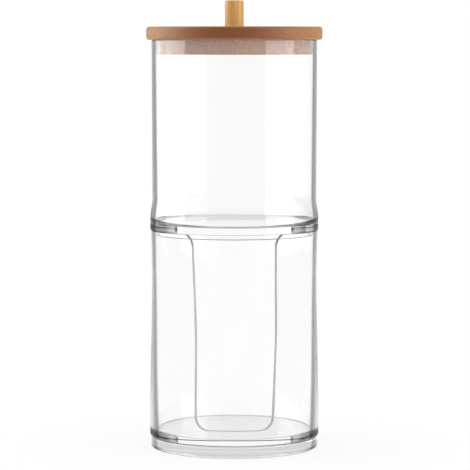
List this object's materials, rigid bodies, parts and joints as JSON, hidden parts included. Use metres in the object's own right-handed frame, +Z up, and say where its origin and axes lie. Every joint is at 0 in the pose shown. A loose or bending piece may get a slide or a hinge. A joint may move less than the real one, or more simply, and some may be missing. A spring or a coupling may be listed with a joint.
{
  "type": "stacked dispenser jar",
  "caption": "Clear round jar in two storeys: a cup with a lift-off bamboo lid and peg knob, stacked on a jar with a tall front slot and a shallow base.",
  "frame": {"origin": "centre of the foot rim, on the table that the jar stands on", "axes": "+Z up along the axis of the jar, -Y towards the front slot, +X to the right seen from the front"},
  "size_m": [0.079, 0.079, 0.201],
  "materials": {
    "base_plastic": "clear moulded plastic, polished",
    "jar_plastic": "clear moulded plastic, polished",
    "cup_plastic": "clear moulded plastic, polished",
    "plug_bamboo": "laminated bamboo, fine sanded",
    "lid_bamboo": "laminated bamboo, fine sanded, oiled",
    "knob_bamboo": "turned bamboo, fine sanded, oiled",
    "screw_steel": "zinc plated steel"
  },
  "bodies": {
    "dispenser": {"base_ring": "base_plastic", "dispenser_body": "jar_plastic"},
    "cup": {"swab_cup": "cup_plastic"},
    "lid": {"lid_plug": "plug_bamboo", "lid_disc": "lid_bamboo", "lid_knob": "knob_bamboo", "knob_screw": "screw_steel"}
  },
  "joints": [
    {"name": "cup_lift", "type": "slide", "parent": "dispenser", "child": "cup", "axis": [0, 0, 1], "range_m": [0, 0.05]},
    {"name": "lid_lift", "type": "slide", "parent": "cup", "child": "lid", "axis": [0, 0, 1], "range_m": [0, 0.06]}
  ]
}
